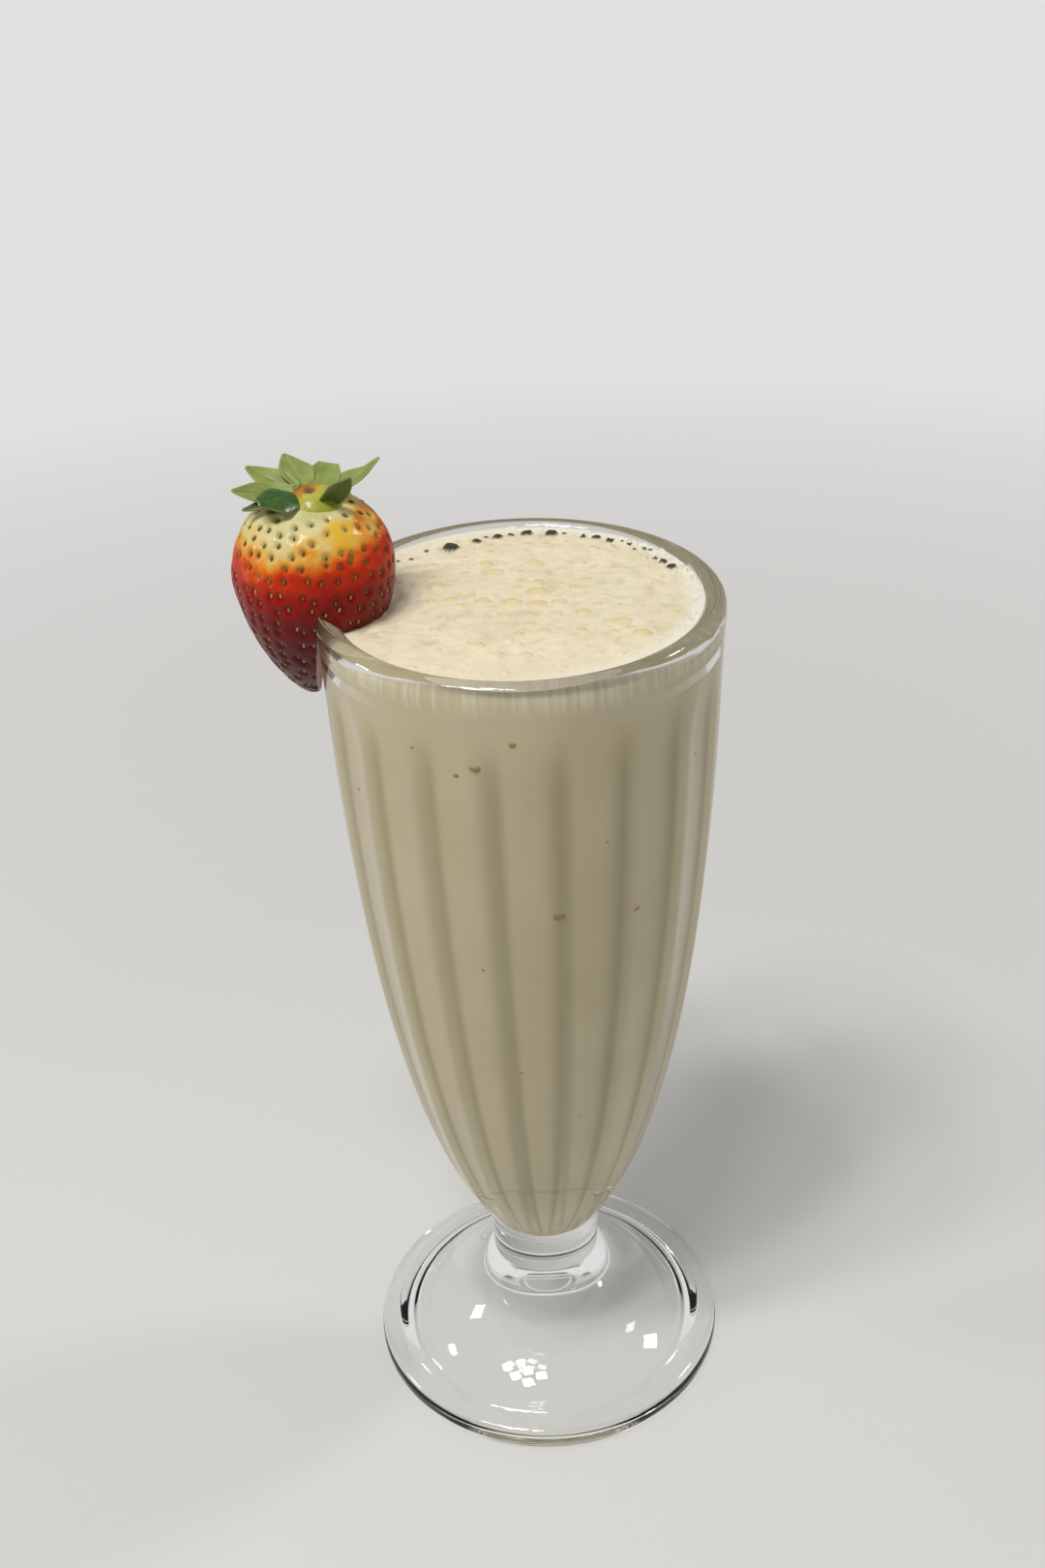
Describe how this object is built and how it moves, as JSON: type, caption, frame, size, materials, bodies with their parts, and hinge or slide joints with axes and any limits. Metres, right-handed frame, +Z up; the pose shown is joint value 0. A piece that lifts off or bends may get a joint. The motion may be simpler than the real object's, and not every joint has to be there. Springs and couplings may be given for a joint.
{
  "type": "banana milkshake in a footed fluted glass with a strawberry garnish",
  "caption": "Tall footed glass with a tapered fluted bowl, filled to the brim with a pale frothy milkshake, and a leafy strawberry slit over the rim.",
  "frame": {"origin": "on the glass's axis, in the plane of the foot's flat landing", "axes": "+Z up along the glass's axis; the strawberry hangs on the -X side of the rim; -Y faces the viewer"},
  "size_m": [0.096, 0.0822, 0.2257],
  "materials": {
    "clear_glass": "polished",
    "milkshake": "creamy, with froth on top",
    "strawberry_flesh": "wet sheen, seeded",
    "strawberry_leaf": "soft, slightly glossy"
  },
  "bodies": {
    "root": {"glass": "clear_glass", "milkshake": "milkshake", "strawberry": "strawberry_flesh", "strawberry_calyx": "strawberry_leaf"}
  },
  "joints": []
}
